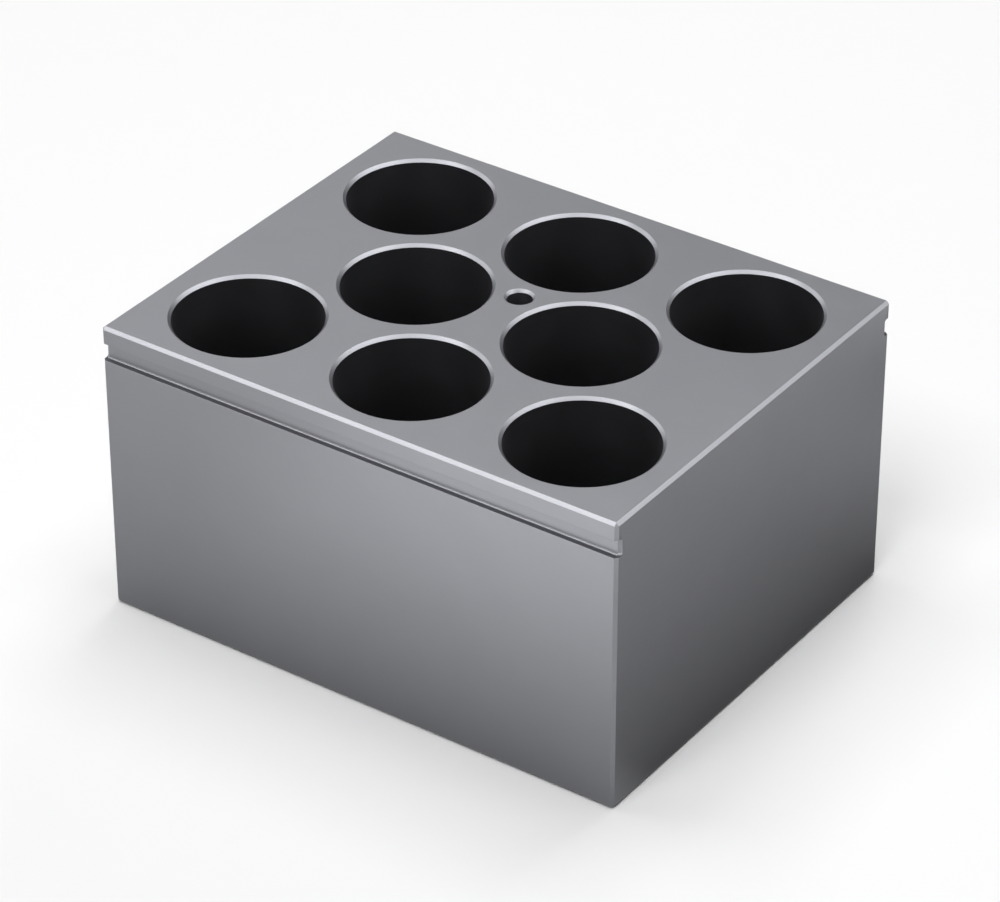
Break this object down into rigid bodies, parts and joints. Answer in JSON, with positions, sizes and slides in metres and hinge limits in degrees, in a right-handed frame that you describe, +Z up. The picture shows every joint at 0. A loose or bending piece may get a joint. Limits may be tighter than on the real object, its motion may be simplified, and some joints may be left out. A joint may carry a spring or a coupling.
{
  "type": "heat block insert",
  "caption": "Rectangular anodised aluminium heat block insert with staggered round vial bores, a groove along each long side and a tapped hole for a lifting tool.",
  "frame": {"origin": "centre of the underside", "axes": "+X along the long side, +Y towards the long side at the back, next to the tapped hole, +Z up out of the bores"},
  "size_m": [0.095, 0.076, 0.0512],
  "materials": {
    "anodised_aluminium": "satin anodised, graphite grey"
  },
  "bodies": {
    "root": {"heat_block": "anodised_aluminium"}
  },
  "joints": []
}
